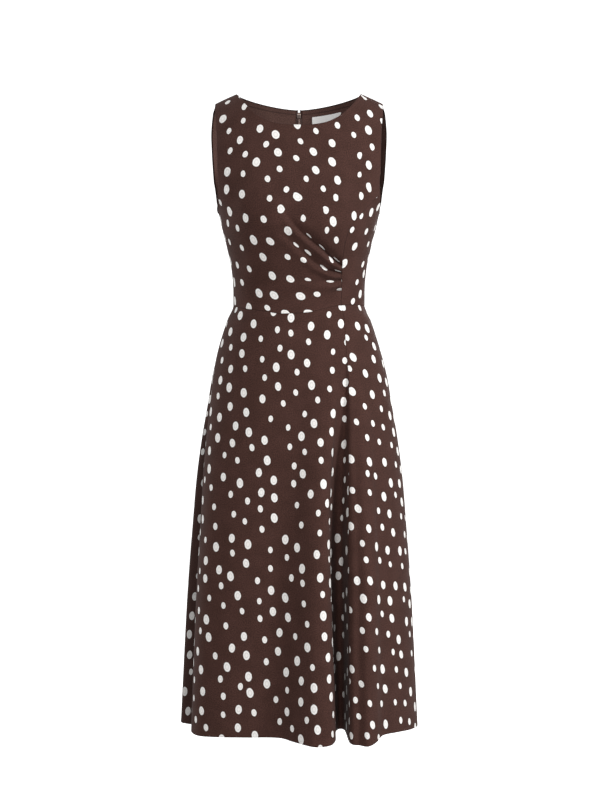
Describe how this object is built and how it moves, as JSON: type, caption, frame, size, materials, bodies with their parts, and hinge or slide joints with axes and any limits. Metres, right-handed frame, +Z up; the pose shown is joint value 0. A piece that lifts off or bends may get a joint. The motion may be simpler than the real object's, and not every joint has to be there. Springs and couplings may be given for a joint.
{
  "type": "fit-and-flare midi dress",
  "caption": "Sleeveless midi dress, hollow and filled out as worn: boat neck, bodice draped in pleats to a side seam, fitted waist and flared skirt with soft folds.",
  "frame": {"origin": "midway between the two shoulder seams, where the wearer's shoulders carry the dress", "axes": "+X to the wearer's left, the front faces -Y, +Z up"},
  "size_m": [0.4504, 0.35, 1.2038],
  "materials": {
    "printed_crepe": "matt crepe, dark brown with off-white oval spots",
    "plain_facing": "matt, plain dark brown",
    "label_satin": "soft satin, blank",
    "zip_tape": "woven tape with a plastic coil",
    "zip_paint": "satin paint"
  },
  "bodies": {
    "dress": {"front_bodice": "printed_crepe", "side_front_bodice": "printed_crepe", "back_bodice_left": "printed_crepe", "back_bodice_right": "printed_crepe", "front_skirt": "printed_crepe", "side_front_skirt": "printed_crepe", "back_skirt_left": "printed_crepe", "back_skirt_right": "printed_crepe", "back_neck_facing_left": "plain_facing", "back_neck_facing_right": "plain_facing", "armhole_facing_left": "plain_facing", "armhole_facing_right": "plain_facing", "label": "label_satin", "zip": "zip_tape", "zip_slider": "zip_paint"},
    "pull": {"zip_pull": "zip_paint"}
  },
  "joints": [
    {"name": "pull_hinge", "type": "hinge", "parent": "dress", "child": "pull", "pos_m": [0, 0.07222, -0.01319], "axis": [1, 0, 0], "range_deg": [0, 150]}
  ]
}
